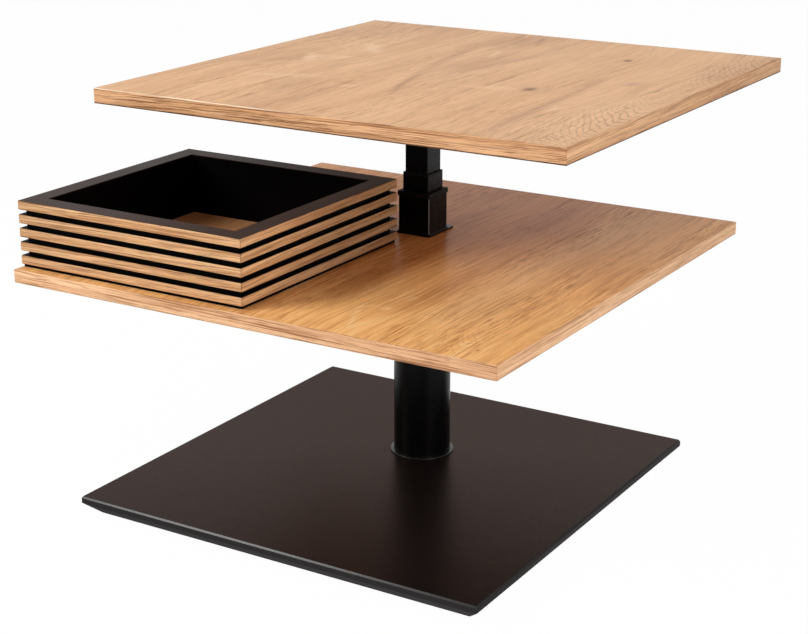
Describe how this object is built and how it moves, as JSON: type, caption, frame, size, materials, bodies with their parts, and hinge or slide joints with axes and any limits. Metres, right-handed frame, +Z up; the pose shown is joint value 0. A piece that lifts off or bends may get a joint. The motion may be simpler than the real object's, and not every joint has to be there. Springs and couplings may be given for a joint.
{
  "type": "height-adjustable coffee table",
  "caption": "Square oak coffee table with a top that lifts and swivels on an off-centre telescopic column, a fixed shelf with a loose slatted box, and a black undercut base plate.",
  "frame": {"origin": "on the floor under the column's axis, which is the middle of the table's outline", "axes": "+Z up; +Y from the column towards the side where the turned top overhangs, away from the box; +X to the right of someone who faces the box"},
  "size_m": [0.75, 0.916, 0.5993],
  "materials": {
    "light_oak": "matt lacquered oak veneer",
    "golden_oak": "satin lacquered oak veneer",
    "box_oak": "oak veneer on the slat faces of a black grooved board",
    "black_board": "black lacquered fibreboard, satin",
    "black_powder": "black powder coat, satin",
    "black_plastic": "black moulded plastic",
    "bright_steel": "zinc-plated steel",
    "dark_felt": "pressed felt"
  },
  "bodies": {
    "stand": {"base_plate": "black_board", "base_glide_front_left": "dark_felt", "base_glide_front_right": "dark_felt", "base_glide_back_left": "dark_felt", "base_glide_back_right": "dark_felt", "foot_flange": "bright_steel", "foot_screw_front": "bright_steel", "foot_screw_right": "bright_steel", "foot_screw_back": "bright_steel", "foot_screw_left": "bright_steel", "column_rosette": "black_powder", "column_tube": "black_powder", "column_spacer": "black_plastic", "outer_tube": "black_powder", "outer_collar": "black_plastic", "shelf_flange": "black_powder", "shelf_panel": "golden_oak", "shelf_edge_front": "golden_oak", "shelf_edge_right": "golden_oak", "shelf_edge_back": "golden_oak", "shelf_edge_left": "golden_oak", "gas_cylinder": "black_powder"},
    "middle_stage": {"middle_tube": "black_powder", "middle_collar": "black_plastic", "middle_guide": "black_plastic"},
    "inner_stage": {"inner_tube": "black_powder", "inner_guide": "black_plastic", "release_head": "bright_steel", "gas_rod": "bright_steel", "head_plate": "bright_steel", "lever_bracket": "bright_steel", "lever_pin": "bright_steel", "swivel_lower_race": "bright_steel", "swivel_ball_ring": "bright_steel", "swivel_bolt": "bright_steel", "swivel_nut": "bright_steel"},
    "lever": {"release_lever": "bright_steel", "lever_grip": "black_plastic"},
    "valve": {"valve_pin": "bright_steel"},
    "top": {"swivel_upper_race": "bright_steel", "top_plate": "bright_steel", "top_screw_front_left": "bright_steel", "top_screw_front_right": "bright_steel", "top_screw_back_left": "bright_steel", "top_screw_back_right": "bright_steel", "top_panel": "light_oak", "top_edge_front": "light_oak", "top_edge_right": "light_oak", "top_edge_back": "light_oak", "top_edge_left": "light_oak"},
    "box": {"box_wall_front": "box_oak", "box_wall_right": "box_oak", "box_wall_back": "box_oak", "box_wall_left": "box_oak", "box_floor": "golden_oak", "box_pad_front_left": "dark_felt", "box_pad_front_right": "dark_felt", "box_pad_back_left": "dark_felt", "box_pad_back_right": "dark_felt"}
  },
  "joints": [
    {"name": "top_lift", "type": "slide", "parent": "stand", "child": "inner_stage", "axis": [0, 0, 1], "range_m": [-0.092, 0.12]},
    {"name": "middle_slide", "type": "slide", "parent": "stand", "child": "middle_stage", "axis": [0, 0, 1], "range_m": [-0.0232, 0.0302]},
    {"name": "top_swivel", "type": "hinge", "parent": "inner_stage", "child": "top", "pos_m": [0, 0, 0.5773], "axis": [0, 0, 1], "continuous": true},
    {"name": "lever_pull", "type": "hinge", "parent": "inner_stage", "child": "lever", "pos_m": [0, 0.02605, 0.5479], "axis": [1, 0, 0], "range_deg": [0, 6], "stiffness_Nm_per_rad": 2},
    {"name": "valve_press", "type": "slide", "parent": "inner_stage", "child": "valve", "axis": [0, 0, 1], "range_m": [-0.003, 0]},
    {"name": "box_slide", "type": "slide", "parent": "stand", "child": "box", "axis": [1, 0, 0], "range_m": [0, 0.374]}
  ],
  "couplings": [
    {"joint": "middle_slide", "follows": "top_lift", "ratio": 0.25},
    {"joint": "valve_press", "follows": "lever_pull", "m_per_rad": -0.02805}
  ]
}
